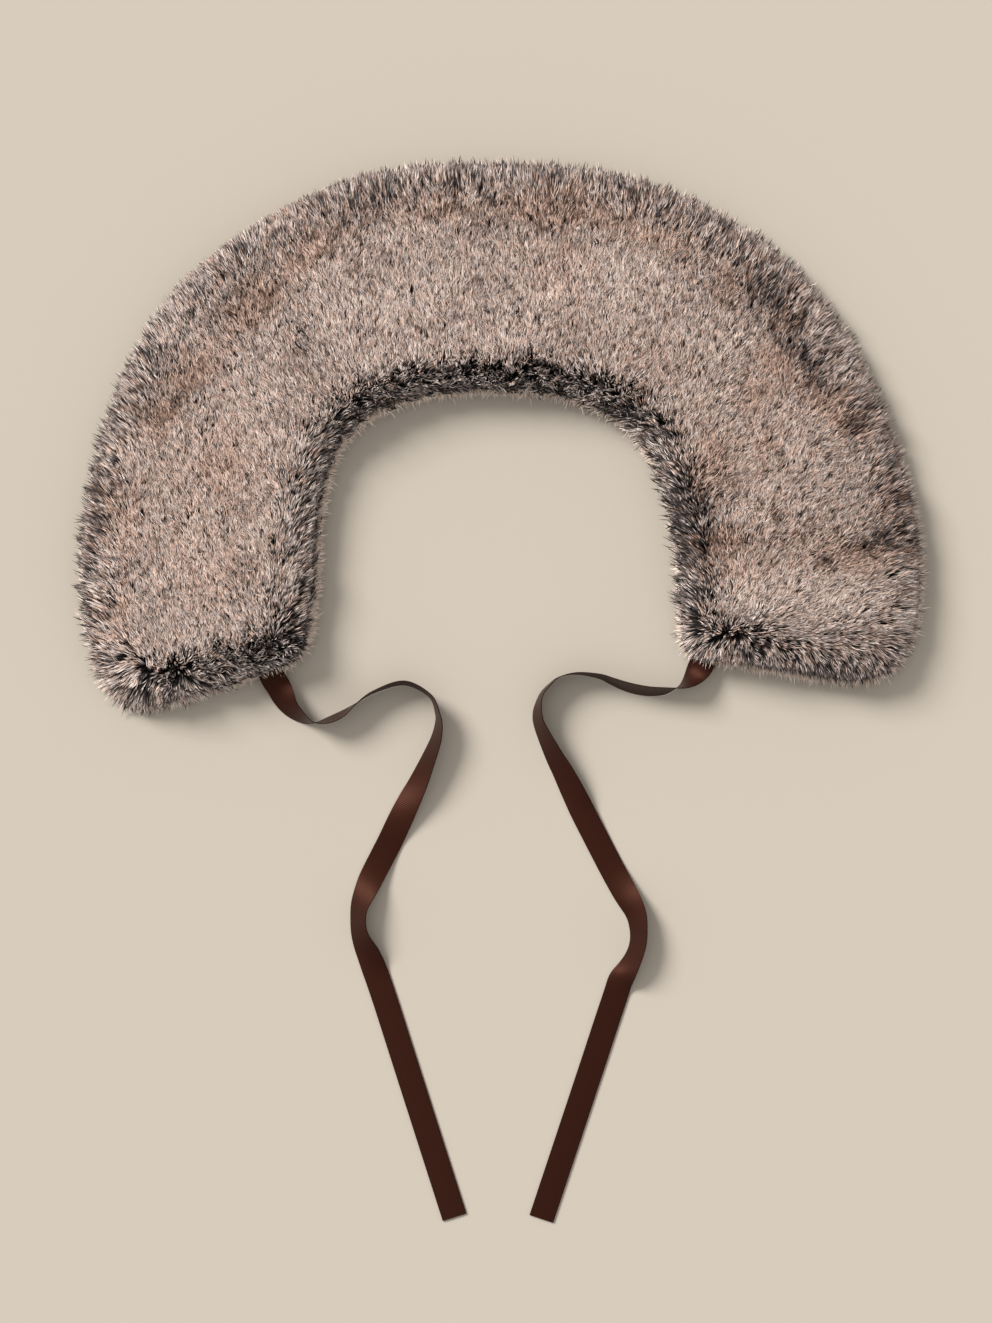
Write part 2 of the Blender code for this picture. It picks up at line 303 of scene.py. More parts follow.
# Where brown underfur shows through: pixel, half width and half height in pixels, turn in degrees, and
# how much warmer the fur is there
WARMTH = (
    (165, 432, 26, 15, 65, 1.0), (200, 378, 36, 18, 40, 1.0), (258, 312, 36, 20, 50, 1.0),
    (312, 264, 36, 15, 45, 1.0), (435, 221, 44, 14, 0, 0.7), (550, 219, 58, 16, -4, 1.0),
    (655, 252, 58, 16, -20, 0.7), (725, 296, 18, 18, 0, 0.8), (778, 330, 16, 13, 0, 0.6),
    (770, 373, 24, 18, -30, 0.9), (745, 405, 18, 18, 0, 0.8), (825, 420, 42, 17, -45, 0.9),
    (708, 470, 15, 28, 0, 0.9), (758, 455, 14, 16, 0, 0.7), (722, 550, 20, 16, 0, 0.8),
    (736, 582, 16, 13, 0, 0.6), (850, 565, 28, 16, 0, 0.9), (130, 525, 15, 42, 0, 0.6),
    (125, 625, 13, 38, 0, 0.5), (230, 470, 34, 44, 0, 0.5), (215, 585, 34, 34, 0, 0.4),
    (800, 560, 64, 34, 0, 0.4), (560, 275, 34, 54, 0, 0.4), (650, 370, 42, 22, 0, 0.3),
    (200, 520, 60, 90, 0, 0.2), (750, 470, 60, 70, 0, 0.25), (885, 500, 22, 90, 8, 0.3),
    (500, 400, 170, 22, 0, 0.3),
)
# How sharply a patch ends
PATCH_EDGE = 1.5


def patches_at(points, patches):
    """Sum of soft patches at each point."""
    total = np.zeros(len(points))
    for x, y, wide, high, turn, more in pixels(patches):
        lean = math.radians(turn)
        dx = (points[:, 0] - x) / PIXEL_MM
        dy = (points[:, 1] - y) / PIXEL_MM
        along = dx * math.cos(lean) + dy * math.sin(lean)
        aside = -dx * math.sin(lean) + dy * math.cos(lean)
        total += more * np.exp(-((along / wide) ** 2 + (aside / high) ** 2) ** PATCH_EDGE)
    return total


def waves(points, seed, size):
    """Smooth irregular values of about -1 to 1 over the plan, with features about a size across."""
    count = 7
    rng = np.random.default_rng(seed)
    total = np.zeros(len(points))
    for _ in range(count):
        turn = rng.uniform(0, 2 * math.pi)
        pitch = size * rng.uniform(0.7, 1.6)
        across = points[:, 0] * math.cos(turn) + points[:, 1] * math.sin(turn)
        total += np.sin(across * 2 * math.pi / pitch + rng.uniform(0, 2 * math.pi))
    return total / math.sqrt(count)


def outline_of(name):
    """The edge of a flat panel in millimetres, anticlockwise: the border of its upward faces."""
    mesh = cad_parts[name].data
    points = np.array([v.co for v in mesh.vertices]) / MM
    top = points[:, 2].max()
    follows = {}
    for face in mesh.polygons:
        if all(points[v, 2] > top - 0.01 for v in face.vertices):
            corners = [tuple(np.round(points[v, :2], 3)) for v in face.vertices]
            for a, b in zip(corners, corners[1:] + corners[:1]):
                if follows.get(b) is not None and a in follows[b]:
                    follows[b].remove(a)
                else:
                    follows.setdefault(a, []).append(b)
    start = next(a for a, after in follows.items() if after)
    loop = [start]
    while True:
        after = follows[loop[-1]][0]
        if after == start:
            return np.array(loop)
        loop.append(after)


SEAM = outline_of("top_panel")


def inside(points):
    """Which points lie inside the seam line."""
    crossings = np.zeros(len(points), int)
    for a, b in zip(SEAM, np.roll(SEAM, -1, axis=0)):
        spans = (a[1] > points[:, 1]) != (b[1] > points[:, 1])
        with np.errstate(divide="ignore", invalid="ignore"):
            x = a[0] + (points[:, 1] - a[1]) / (b[1] - a[1]) * (b[0] - a[0])
        crossings += spans & (points[:, 0] < x)
    return crossings % 2 == 1


def to_seam(points):
    """Distance of each point from the seam line, and the direction out across it, turned evenly round
    corners."""
    a = SEAM
    b = np.roll(SEAM, -1, axis=0)
    run = b - a
    length = np.linalg.norm(run, axis=1)
    found = np.empty((len(points), 3))
    for first in range(0, len(points), BATCH):
        some = points[first : first + BATCH]
        off = some[:, None] - a[None]
        share = np.clip((off * run).sum(axis=2) / (run**2).sum(axis=1), 0, 1)
        gap = off - share[..., None] * run
        away = np.sqrt((gap**2).sum(axis=2))
        distance = away.min(axis=1)
        count_for = np.exp((distance[:, None] - away) / CORNER_BLEND) * length / np.maximum(away, 1e-6)
        found[first : first + BATCH, 0] = distance
        found[first : first + BATCH, 1:] = unit(-(gap * count_for[..., None]).sum(axis=1))
    return found[:, 0], found[:, 1:]


def scatter(spacing, seed):
    """Points about a spacing apart all over the panel, jittered off a grid."""
    spread = 0.95
    rng = np.random.default_rng(seed)
    low = SEAM.min(axis=0) - spacing
    high = SEAM.max(axis=0) + spacing
    columns = np.arange(low[0], high[0], spacing)
    rows = np.arange(low[1], high[1], spacing * 0.9)
    x, y = np.meshgrid(columns, rows)
    x[1::2] += spacing / 2
    grid = np.column_stack([x.ravel(), y.ravel()])
    grid += rng.uniform(-spread / 2, spread / 2, grid.shape) * spacing
    return grid[inside(grid)]


def nearest_clump(points, clumps, spacing):
    """For each point the nearest clump, looked for in a grid of cells."""
    cell = 1.5 * spacing
    low = clumps.min(axis=0) - 2 * cell
    size = np.ceil((clumps.max(axis=0) + 2 * cell - low) / cell).astype(int)
    place = ((clumps - low) / cell).astype(int)
    most = 8
    table = np.full((size[0], size[1], most), -1)
    used = np.zeros((size[0], size[1]), int)
    for k, (i, j) in enumerate(place):
        if used[i, j] < most:
            table[i, j, used[i, j]] = k
            used[i, j] += 1
    where = np.clip(((points - low) / cell).astype(int), 1, size - 2)
    best = np.zeros(len(points), int)
    least = np.full(len(points), np.inf)
    for di in (-1, 0, 1):
        for dj in (-1, 0, 1):
            for slot in range(most):
                found = table[where[:, 0] + di, where[:, 1] + dj, slot]
                gap = np.where(found >= 0, ((clumps[found] - points) ** 2).sum(axis=1), np.inf)
                closer = gap < least
                best[closer] = found[closer]
                least[closer] = gap[closer]
    return best


def unit(vectors):
    return vectors / np.maximum(np.linalg.norm(vectors, axis=1, keepdims=True), 1e-9)


def smoothstep(low, high, value):
    share = np.clip((value - low) / (high - low), 0, 1)
    return share * share * (3 - 2 * share)


def ground(points, side, nap):
    """What a strand grows from at each point: distance from the seam, direction out across it, how far
    the nap runs out along that, share of the roll, direction out of the cloth, and the way a strand
    leans."""
    distance, outward = to_seam(points)
    roll = roll_at(points) * (1 + 0.16 * waves(points, 21, 15))
    share = 1 - smoothstep(0, 1, distance / roll)
    turn = np.radians(EDGE_TURN) * share
    along = (nap * outward).sum(axis=1)
    across = nap - along[:, None] * outward
    normal = np.column_stack([outward * np.sin(turn)[:, None], side * np.cos(turn)])
    over = np.column_stack([outward * np.cos(turn)[:, None], -side * np.sin(turn)])
    lean = over * (along + 1.1 * share)[:, None] + np.column_stack([across, np.zeros(len(points))])
    return distance, outward, along, share, normal, unit(lean)


# How far along a strand its points are, for strands of three and of four points
STEPS = {3: (0.0, 0.68, 1.0), 4: (0.0, 0.4, 0.76, 1.0)}


def placed(name, data):
    """A new object for some data, in the scene."""
    obj = bpy.data.objects.new(name, data)
    bpy.context.scene.collection.objects.link(obj)
    return obj


def blades(name, lines, width, tone, dark_share, facing, material, seed):
    """One mesh of flat strands, pointed at both ends. lines is strands by points by 3, in millimetres,
    and facing is what shades them."""
    rng = np.random.default_rng(seed)
    strands, count = lines.shape[:2]
    run = unit(lines[:, -1] - lines[:, 0])
    side = unit(np.cross(run, np.array([0.0, 0.0, 1.0])) + 1e-6)
    over = np.cross(side, run)
    roll = rng.normal(0, STRAND_ROLL, strands)
    side = side * np.cos(roll)[:, None] + over * np.sin(roll)[:, None]
    taper = np.array([0.9, 1.0][4 - count:])
    half = side[:, None, :] * (width[:, None] * taper)[..., None] / 2
    middle = lines[:, 1:-1]
    verts = np.concatenate([lines[:, :1], middle - half, middle + half, lines[:, -1:]], axis=1)
    pairs = count - 2
    each = 2 * pairs + 2
    faces = [(0, 1 + pairs, 1)]
    faces += [(k, k + pairs, k + pairs + 1, k + 1) for k in range(1, pairs)]
    faces += [(pairs, 2 * pairs, each - 1)]
    loops = [corner for face in faces for corner in face]
    sizes = [len(face) for face in faces]
    starts = np.cumsum([0] + sizes[:-1])
    at = len(loops)
    steps = STEPS[count]
    down = np.array([steps[0], *steps[1:-1], *steps[1:-1], steps[-1]])[loops]
    aside = np.array([0.0] + [-1.0] * pairs + [1.0] * pairs + [0.0])[loops]
    mesh = bpy.data.meshes.new(name)
    mesh.vertices.add(strands * each)
    mesh.vertices.foreach_set("co", (verts * MM).astype(np.float32).ravel())
    order = np.arange(strands)[:, None]
    mesh.loops.add(strands * at)
    corners = (np.array(loops)[None] + order * each).astype(np.int32)
    mesh.loops.foreach_set("vertex_index", corners.ravel())
    mesh.polygons.add(strands * len(sizes))
    firsts = (np.array(starts)[None] + order * at).astype(np.int32)
    mesh.polygons.foreach_set("loop_start", firsts.ravel())
    mesh.polygons.foreach_set("loop_total", np.tile(np.array(sizes, np.int32), strands))
    layer = mesh.uv_layers.new(name="OFBake")
    uv = np.empty((strands, at, 2), np.float32)
    uv[:, :, 0] = np.clip(tone, *TONE_RANGE)[:, None] + aside[None] * UV_MARGIN
    uv[:, :, 1] = UV_MARGIN + UV_LENGTH * down[None] ** dark_share[:, None]
    layer.data.foreach_set("uv", uv.ravel())
    mesh.update(calc_edges=True)
    mesh.normals_split_custom_set_from_vertices(np.repeat(facing, each, axis=0))
    mesh.materials.append(material)
    return placed(name, mesh)


def bend(start, knee, tips, count):
    """Points along each strand, from its start through a soft bend at the knee to its tip."""
    control = 2 * knee - (start + tips) / 2
    return np.stack(
        [start * (1 - t) ** 2 + 2 * control * t * (1 - t) + tips * t**2 for t in STEPS[count]], axis=1
    )


def reach_at(points, column):
    """How far past the seam a pile reaches, from its own column of the table."""
    table = pixels(REACH)
    return weights(points, table, REACH_SPREAD) @ table[:, column]


def held_in(start, knee, tips, outward, distance, most, lift):
    """Strands shortened, in place, to reach no further past the seam than the most given, and bent up by
    some of what they lose."""
    reach = ((tips - start)[:, :2] * outward).sum(axis=1)
    keep = np.clip((distance + most) / np.maximum(reach, 1e-6), 0, 1)
    for points in (tips, knee):
        run = (points - start)[:, :2]
        points[:, :2] = start[:, :2] + run * keep[:, None]
        points[:, 2] += lift * (run * outward).sum(axis=1) * (1 - keep)
    # A tip that is still too far out is drawn back in, and its knee by less
    past, inward = to_seam(tips[:, :2])
    past[inside(tips[:, :2])] = 0
    back = np.maximum(1.5 * (past - most), 0)[:, None] * inward
    tips[:, :2] += back
    knee[:, :2] += back * 0.4


def top_strands(spacing, lock_spacing, seed, edge):
    """Start, knee, tip, width, tone, dark share and shading direction of every strand of the top's field
    or of its edges. The field and the edges draw what clumps and locks share from the same seed."""
    shared = np.random.default_rng(11)
    own = np.random.default_rng(seed)
    roots = scatter(spacing, seed + 1)
    clumps = scatter(CLUMP_SPACING, 13)
    home = nearest_clump(roots, clumps, CLUMP_SPACING)
    nap, combed = nap_at(0.4 * roots + 0.6 * clumps[home])
    found = ground(roots, 1, nap)
    chosen = (found[3] > own.uniform(0.02, 0.3, len(roots))) == edge
    distance, outward, along, share, normal, lean = (values[chosen] for values in found)
    roots, home, nap, combed = roots[chosen], home[chosen], nap[chosen], combed[chosen]
    locks = scatter(lock_spacing, 14)
    lock = nearest_clump(roots, locks, lock_spacing)
    # The patches darken the fur, or pale it where under 0: partly its own darker tufts and partings,
    # partly painted shade on rims the key light falls on and painted light where the pile lies in shade
    dark = patches_at(roots, TONE_AND_PAINTED_LIGHT_PATCHES) * (1 + 0.45 * waves(roots, 19, 9))
    stand = np.clip(dark, 0, 1.5)
    count = len(roots)
    edge_share = smoothstep(0.05, 0.8, share)

    def spread(clump, each_lock, each):
        """Random values of three kinds: a clump's, a lock's, and each strand's own."""
        return (shared.normal(0, 1, len(clumps))[home] * clump
                + shared.normal(0, 1, len(locks))[lock] * each_lock
                + own.normal(0, 1, count) * each)

    # Where the pile runs out over an edge its strands lie more evenly
    calm = edge_share * np.clip(along + 0.7, 0, 1)
    swing = spread(0.22, 0.32 - 0.12 * calm, 0.12 + 0.08 * calm) * (2.2 - 1.2 * combed - 0.6 * share)
    swing += 0.16 * waves(roots, 15, 34)
    rise = spread(0.14 - 0.06 * calm, 0.14 - 0.07 * calm, 0.08) * (1 + 0.8 * share)
    shade = (spread(0.05, 0.09 - 0.05 * calm, 0.18 + 0.08 * edge_share) * (1 + 0.5 * share)
             + 0.05 * waves(roots, 16, 14) + 0.06 * waves(roots, 20, 42))
    # Dark guard hairs, by whole locks and singly
    chance = 0.06 + edge_share * (0.13 - 0.08 * along + 0.06 * waves(roots, 22, 7))
    # More dark guard hairs where the patches darken the fur, so these carry some of the painted shade
    # too
    chance += 0.22 * stand * (1 - 0.4 * share)
    guard = shared.random(len(locks))[lock] < chance
    guard |= own.random(count) < 0.03 + edge_share * (0.19 - 0.04 * along)
    # The lower half of a strand stands, and its upper half lies over with the nap
    sideways = np.cross(normal, lean)
    lying = lean * np.cos(swing)[:, None] + sideways * np.sin(swing)[:, None]
    lying *= np.maximum(0.45 + 0.55 * combed, share)[:, None]
    first = unit(normal + lying * (0.28 + 0.5 * rise + 0.5 * share - 0.2 * stand)[:, None])
    second = unit(normal * (1.8 + 1.4 * rise - 1.1 * share + 0.4 * stand)[:, None] + lying)
    long = (TOP_LENGTH - 0.5 * share) * own.uniform(0.86, 1.05, count)
    start = np.column_stack([roots, TOP_ROOTS - (TOP_ROOTS - SEAM_HEIGHT) * share])
    # Tips draw together in their lock and clump
    pull = shared.uniform(0.4, 0.9, len(locks))[lock]
    pull += (0.95 - pull) * share
    mixed = (0.3 + 0.25 * share - 0.2 * calm)[:, None]
    towards = (1 - mixed) * locks[lock] + mixed * clumps[home] - roots
    aim = np.column_stack([towards * pull[:, None], np.zeros(count)])
    knee = start + first * (long * 0.5)[:, None] + aim * 0.45
    tips = start + first * (long * 0.5)[:, None] + second * (long * 0.5)[:, None] + aim
    short = np.minimum(0.42 + own.exponential(0.18, count), 1.25)
    most = reach_at(roots, TOP_REACH) * short * (1 + 0.08 * waves(roots, 18, 12))
    held_in(start, knee, tips, outward, distance, most, 0.75)
    tips[:, 2] = np.clip(tips[:, 2], LOWEST_TIP, HIGHEST_TIP)
    # Tone falls with the patches, which are partly the fur's own tone and partly painted shade and light
    tone = 0.80 + 0.09 * edge_share + shade - 0.2 * dark - edge_share * np.clip(along, -1, 1) * 0.1
    tone = np.clip(tone, 0.3, 1)
    tone = np.where(guard, own.uniform(0.0, 0.2, count), tone)
    warm = shared.random(len(locks))[lock] < 0.36 * (1 - share) + 0.75 * patches_at(roots, WARMTH)
    tone = np.where(warm, WARM_TONES + (1 - WARM_TONES) * tone, COOL_TONES * tone)
    # How much of a strand's length is its dark root, as the power that the way along it is raised to.
    # The patches, partly painted shade and painted light, lengthen or shorten it
    dark_share = 1.0 + share * (0.55 - 0.2 * along) + 0.2 * stand + 0.2 * np.minimum(dark, 0)
    dark_share *= np.exp(
        spread(0.08 - 0.04 * calm, 0.12 - 0.07 * calm, 0.16 + 0.06 * calm) * (1 + 1.8 * share)
        + 0.22 * share * waves(roots, 25, 10)
    )
    tilt = shared.normal(0, 0.28, (len(locks), 3))[lock] + own.normal(0, 0.3, (count, 3))
    facing = unit(np.column_stack([-outward * (0.1 * share)[:, None], np.ones(count)]) + tilt)
    width = own.uniform(*TOP_WIDTHS, count) * (1 + 0.06 * edge_share - 0.16 * calm)
    return start, knee, tips, width, tone, dark_share, facing


def under_strands(spacing, seed, rim):
    """The same for the under pile: pressed flat all over, or the fringe that shows past the seam."""
    rng = np.random.default_rng(seed)
    roots = scatter(spacing, seed + 1)
    distance, outward = to_seam(roots)
    chosen = distance < FRINGE_DEPTH if rim else distance >= FRINGE_DEPTH
    roots, distance, outward = roots[chosen], distance[chosen], outward[chosen]
    count = len(roots)
    nap = nap_at(roots)[0] if rim else np.array([[0.0, 1.0]])
    swing = rng.normal(0, 0.3, count) + 0.16 * waves(roots, seed + 2, 20)
    share = 1 - smoothstep(0, FRINGE_TURN, distance)
    flat = unit(outward * (1.5 * share)[:, None] + nap * (1 - 0.72 * share)[:, None])
    flat = np.column_stack([
        flat[:, 0] * np.cos(swing) - flat[:, 1] * np.sin(swing),
        flat[:, 0] * np.sin(swing) + flat[:, 1] * np.cos(swing),
    ])
    long = rng.uniform(*UNDER_LENGTHS, count)
    start = np.column_stack([roots, UNDER_ROOTS + (SEAM_HEIGHT - UNDER_ROOTS) * share])
    # The pile lies down under the cloth, and comes up towards the seam
    knee_rise = -1.8 + 3.2 * share * rng.random(count)
    knee = start + np.column_stack([flat * (long * 0.45)[:, None], knee_rise])
    tip_rise = -3.2 + 6.2 * share * rng.random(count)
    tips = start + np.column_stack([flat * long[:, None], tip_rise])
    short = np.minimum(0.7 + rng.exponential(0.1, count), 1.2)
    most = reach_at(roots, UNDER_REACH) * short * (1 + 0.12 * waves(roots, seed + 3, 6))
    held_in(start, knee, tips, outward, distance, most, 0.0)
    knee[:, 2] = np.maximum(knee[:, 2], LOWEST_UNDER_KNEE)
    tips[:, 2] = np.maximum(tips[:, 2], LOWEST_UNDER_TIP)
    tone = (0.66 if rim else 0.42) + rng.normal(0, 0.24, count) + 0.1 * waves(roots, seed + 4, 5)
    tone = np.clip(tone, 0.0, 1)
    width = rng.uniform(*UNDER_WIDTHS, count) * (1.0 if rim else 2.4)
    facing = unit(np.column_stack([outward * (0.5 * share)[:, None], np.ones(count)])
                  + rng.normal(0, 0.25, (count, 3)))
    return start, knee, tips, width, tone, np.full(count, 1.0 if rim else 0.5), facing


def principled(name, roughness, specular, sheen=0.0):
    """A new material, its node tree and its shader."""
    material = bpy.data.materials.new(name)
    material.use_nodes = True
    shader = material.node_tree.nodes["Principled BSDF"]
    shader.inputs["Roughness"].default_value = roughness
    shader.inputs["Sheen Weight"].default_value = sheen
    shader.inputs["Specular IOR Level"].default_value = specular
    return material, material.node_tree, shader


def srgb(*levels):
    """sRGB levels of 0 to 255 as a linear colour with alpha."""
    shares = [level / 255 for level in levels]
    return (*[s / 12.92 if s <= 0.04045 else ((s + 0.055) / 1.055) ** 2.4 for s in shares], 1.0)


def ramp(tree, share, stops):
    """A colour from a list of stops, at a share."""
    node = tree.nodes.new("ShaderNodeValToRGB")
    elements = node.color_ramp.elements
    while len(elements) < len(stops):
        elements.new(0.5)
    for element, (place, colour) in zip(elements, stops):
        element.position = place
        element.color = colour
    tree.links.new(share, node.inputs["Fac"])
    return node.outputs["Color"]


def feed(tree, socket, value):
    """A socket's input, from another socket or as a plain value."""
    if isinstance(value, bpy.types.NodeSocket):
        tree.links.new(value, socket)
    else:
        socket.default_value = value


def math_node(tree, operation, *values):
    node = tree.nodes.new("ShaderNodeMath")
    node.operation = operation
    for socket, value in zip(node.inputs, values):
        feed(tree, socket, value)
    return node.outputs[0]


def mix_colours(tree, share, first, second):
    mix = tree.nodes.new("ShaderNodeMix")
    mix.data_type = "RGBA"
    mix.clamp_factor = True
    feed(tree, mix.inputs["Factor"], share)
    feed(tree, mix.inputs["A"], first)
    feed(tree, mix.inputs["B"], second)
    return mix.outputs["Result"]


def uv_sockets(tree, name):
    """The two coordinates of a UV map."""
    uv = tree.nodes.new("ShaderNodeUVMap")
    uv.uv_map = name
    parts = tree.nodes.new("ShaderNodeSeparateXYZ")
    tree.links.new(uv.outputs["UV"], parts.inputs[0])
    return parts.outputs["X"], parts.outputs["Y"]


def fur_material(name, root, middle, tips):
    """Colour runs from the root to the tip, and the tip's colour from dark to pale with the strand's
    tone."""
    material, tree, shader = principled(name, 0.6, 0.35, sheen=0.15)
    tone, down = uv_sockets(tree, "OFBake")
    tip = ramp(tree, tone, tips)
    low = ramp(tree, down, ((0.0, root), (0.45, root), (1.0, middle)))
    share = math_node(tree, "MULTIPLY_ADD", down, 4.0, -2.0)
    tree.links.new(mix_colours(tree, share, low, tip), shader.inputs["Base Color"])
    return material


TOP_FUR = fur_material(
    "top_fur", srgb(20, 14, 12), srgb(60, 47, 42),
    [(COOL_TONES * tone, srgb(*levels)) for tone, levels in (
        (0.0, (28, 21, 19)), (0.15, (62, 52, 49)), (0.3, (112, 99, 95)), (0.45, (158, 142, 136)),
        (0.6, (186, 167, 159)), (0.75, (203, 184, 175)), (1.0, (228, 211, 202)),
    )] + [(WARM_TONES + (1 - WARM_TONES) * tone, srgb(*levels)) for tone, levels in (
        (0.0, (60, 41, 32)), (0.15, (92, 66, 53)), (0.3, (128, 98, 82)), (0.45, (160, 128, 111)),
        (0.6, (186, 153, 136)), (0.75, (203, 170, 153)), (1.0, (226, 198, 182)),
    )],
)
UNDER_FUR = fur_material(
    "under_fur", srgb(76, 58, 49), srgb(192, 166, 148),
    (
        (0.0, srgb(96, 76, 66)), (0.25, srgb(176, 150, 134)), (0.5, srgb(218, 194, 176)),
        (0.75, srgb(234, 214, 198)), (1.0, srgb(242, 226, 212)),
    ),
)


def finish_piece(obj, slot, *nodes):
    """A piece that rides on the one body, with the nodes that it takes the place of hidden. Its slot is
    not used.
    """
    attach(obj, BODY)
    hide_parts(*nodes)
    return obj


def grown(name, strands, chosen, count, material, seed):
    """A piece of fur from the chosen ones of some strands, each of so many points."""
    start, knee, tips, width, tone, dark_share, facing = (values[chosen] for values in strands)
    return blades(name, bend(start, knee, tips, count), width, tone, dark_share, facing, material, seed)


def grow_top():
    """The top's pieces: each has its name, and the distances and directions from the neck that it lies
    between."""
    field = top_strands(FIELD_SPACING, FIELD_LOCKS, 60, False)
    edge = top_strands(EDGE_SPACING, EDGE_LOCKS, 70, True)
    pieces = []
    for strands, count, rows in (
        (field, 3, (
            ("fur_right", -1, math.inf, -90, 62),
            ("fur_back", -1, math.inf, 62, 118),
            ("fur_left", -1, math.inf, 118, 270),
        )),
        (edge, 4, (
            ("fur_outer_edge_right", NECK_RING, math.inf, -90, 95),
            ("fur_outer_edge_left", NECK_RING, math.inf, 95, 270),
            ("fur_neck_edge", -1, NECK_RING, -90, 270),
        )),
    ):
        off = strands[0][:, :2] - NECK_CENTRE
        turn = (np.degrees(np.arctan2(off[:, 1], off[:, 0])) + 90) % 360 - 90
        far = np.hypot(off[:, 0], off[:, 1])
        for name, nearest, farthest, low, high in rows:
            chosen = (turn >= low) & (turn < high) & (far > nearest) & (far <= farthest)
            piece = grown(name, strands, chosen, count, TOP_FUR, 31)
            pieces.append(finish_piece(piece, "fur", "top_pile"))
    return pieces


def grow_under():
    flat = under_strands(FLAT_SPACING, 41, False)
    fringe = under_strands(FRINGE_SPACING, 51, True)
    every = slice(None)
    return [
        finish_piece(grown("fur_underside", flat, every, 3, UNDER_FUR, 42), "fur_fringe", "under_pile"),
        finish_piece(grown("fur_fringe", fringe, every, 4, UNDER_FUR, 52), "fur_fringe", "under_pile"),
    ]


def knit_material():
    material, _, shader = principled("knit_backing", 0.9, 0.2)
    shader.inputs["Base Color"].default_value = srgb(30, 22, 19)
    return material


def make_backing(name, node, base):
    """A fur fabric's knitted backing: the CAD panel's own cut as a thin sheet."""
    verts = [(x * MM, y * MM, (base + up) * MM) for up in (0.0, BACKING_WALL) for x, y in SEAM]
    count = len(SEAM)
    sides = [(k, (k + 1) % count, count + (k + 1) % count, count + k) for k in range(count)]
    mesh = bpy.data.meshes.new(name)
    mesh.from_pydata(verts, [], [tuple(range(count))[::-1], tuple(range(count, 2 * count)), *sides])
    mesh.materials.append(KNIT)
    sheet = placed(name, mesh)
    finish_piece(sheet, "backing", node)


def smooth_row(rows, at):
    """The row of a table at a fractional index, on a smooth curve through all its rows."""
    last = len(rows) - 1
    i = min(int(at), last - 1)
    t = at - i
    before, a, b, after = (rows[max(0, min(last, i + k))] for k in (-1, 0, 1, 2))
    return 0.5 * (2 * a + (b - before) * t + (2 * before - 5 * a + 4 * b - after) * t**2
                  + (3 * a - before - 3 * b + after) * t**3)


def tie_frames(route):
    """Centre, across and upwards vectors of a tie's sections, and how far along each is, in
    millimetres."""
    rows = np.array(route, float)
    rows[:, :2] -= BOX_MIDDLE
    sections = [smooth_row(rows, 0.0)]
    for k in range(1, (len(rows) - 1) * CURVE_STEPS + 1):
        row = smooth_row(rows, k / CURVE_STEPS)
        if math.dist(row[:2], sections[-1][:2]) >= TIE_STEP:
            sections.append(row)
    sections.append(rows[-1])
    rows = np.array(sections)
    along = unit(np.gradient(rows[:, :2], axis=0))
    lean = np.radians(rows[:, 2])
    side = np.cos(lean)
    across = np.column_stack([-along[:, 1] * side, along[:, 0] * side, np.sin(lean)])
    rest = np.abs(across[:, 2]) * TIE_WIDTH / 2 + TIE_WALL / 2 * np.abs(side) + TIE_CLEARANCE
    centre = np.column_stack([rows[:, :2], rest + rows[:, 3]])
    forward = unit(np.gradient(centre, axis=0))
    step = np.linalg.norm(np.diff(centre, axis=0), axis=1)
    return centre, across, unit(np.cross(forward, across)), np.concatenate([[0], np.cumsum(step)])


def ribbon_material():
    """Grosgrain: fine ribs across the ribbon, a smooth selvedge along both sides, and a soft sheen."""
    material, tree, shader = principled("grosgrain", 0.45, 0.25)
    shader.inputs["Specular Tint"].default_value = srgb(255, 170, 140)
    sideways, down = uv_sockets(tree, "Ribbon")
    turns = math_node(tree, "MULTIPLY", down, 2 * math.pi * RIBBON_UV_LENGTH / RIB_PITCH)
    rib = math_node(tree, "SINE", turns)
    middle = math_node(tree, "ABSOLUTE", math_node(tree, "SUBTRACT", sideways, 0.5))
    edge = math_node(tree, "GREATER_THAN", middle, SELVEDGE_FROM)
    plain = math_node(tree, "SUBTRACT", 1.0, edge)
    height = math_node(tree, "MULTIPLY", rib, plain)
    bump = tree.nodes.new("ShaderNodeBump")
    bump.inputs["Strength"].default_value = 0.25
    bump.inputs["Distance"].default_value = 0.0002
    tree.links.new(height, bump.inputs["Height"])
    tree.links.new(bump.outputs["Normal"], shader.inputs["Normal"])
    # The ribs' colour follows their height: painted shade in the troughs and painted light on the crests
    share = math_node(tree, "MULTIPLY_ADD", height, 0.5, 0.5)
    stops = ((0.0, srgb(20, 8, 5)), (0.5, srgb(31, 12, 8)), (1.0, srgb(44, 18, 12)))
    colour = ramp(tree, share, stops)
    darker = math_node(tree, "MULTIPLY", edge, 0.6)
    tree.links.new(mix_colours(tree, darker, colour, srgb(18, 9, 7)), shader.inputs["Base Color"])
    return material


